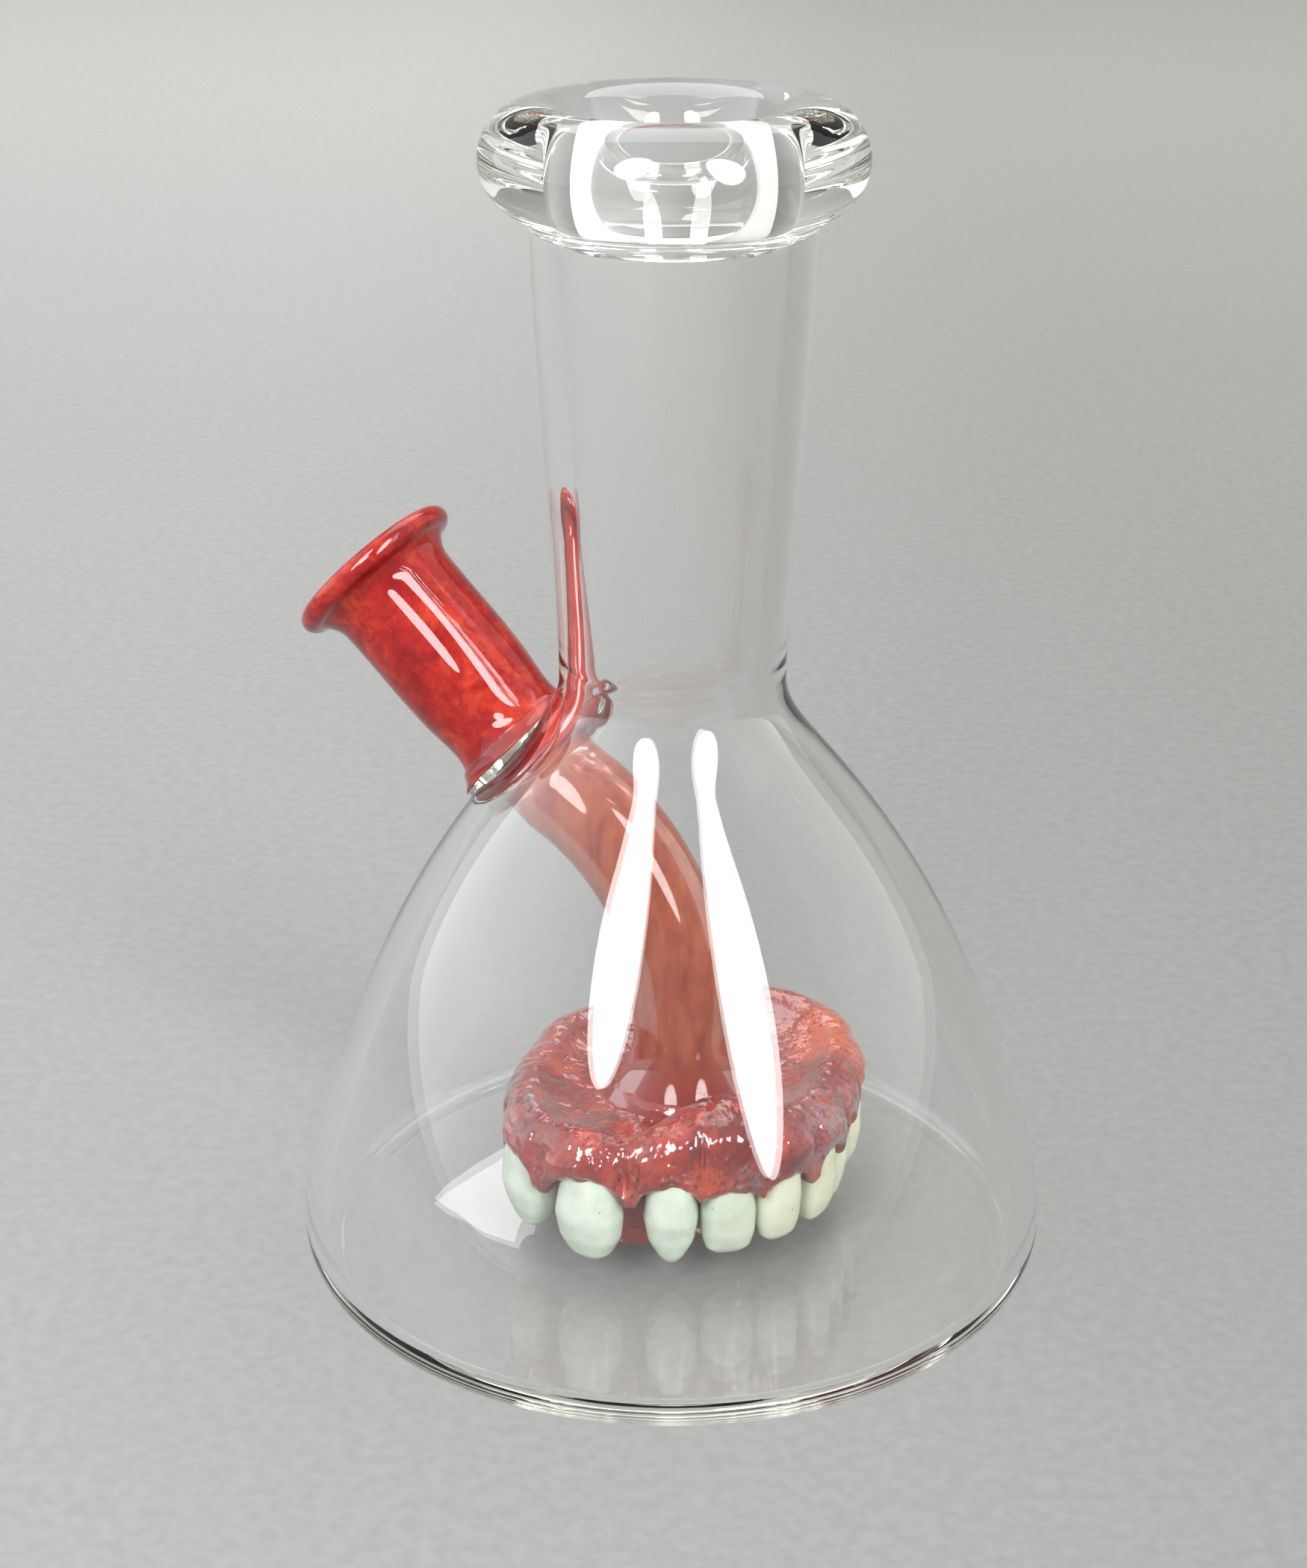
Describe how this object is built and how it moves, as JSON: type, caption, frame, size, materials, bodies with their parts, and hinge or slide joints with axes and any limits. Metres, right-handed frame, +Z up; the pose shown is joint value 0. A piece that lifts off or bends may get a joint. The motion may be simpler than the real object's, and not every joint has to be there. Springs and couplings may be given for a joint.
{
  "type": "glass water pipe",
  "caption": "Flask-shaped clear glass water pipe with a red side joint, a bent downstem and a diffuser shaped like gums and teeth.",
  "frame": {"origin": "centre of the base, on the surface that the pipe stands on", "axes": "+Z up along the neck; -X towards the side joint, which leans out and back; -Y towards the front of the jaw"},
  "size_m": [0.114, 0.114, 0.175],
  "materials": {
    "clear_glass": "fire-polished, colourless",
    "red_glass": "fire-polished, deep red with a mottled streak",
    "stem_glass": "fire-polished, orange-red",
    "gum_glass": "glossy, dark red with dark and pale flecks, lumpy",
    "tooth_glass": "glossy, greenish white with a few dark flecks"
  },
  "bodies": {
    "root": {"mouth_lip": "clear_glass", "neck_tube": "clear_glass", "bell_body": "clear_glass", "base_floor": "clear_glass", "weld_collar": "clear_glass", "joint_socket": "red_glass", "socket_rim": "red_glass", "downstem": "stem_glass", "stem_flare": "stem_glass", "diffuser_cup": "gum_glass", "gum_ridge": "gum_glass", "right_central_incisor": "tooth_glass", "right_lateral_incisor": "tooth_glass", "right_canine": "tooth_glass", "right_first_premolar": "tooth_glass", "right_second_premolar": "tooth_glass", "right_first_molar": "tooth_glass", "right_second_molar": "tooth_glass", "left_central_incisor": "tooth_glass", "left_lateral_incisor": "tooth_glass", "left_canine": "tooth_glass", "left_first_premolar": "tooth_glass", "left_second_premolar": "tooth_glass", "left_first_molar": "tooth_glass", "left_second_molar": "tooth_glass"}
  },
  "joints": []
}
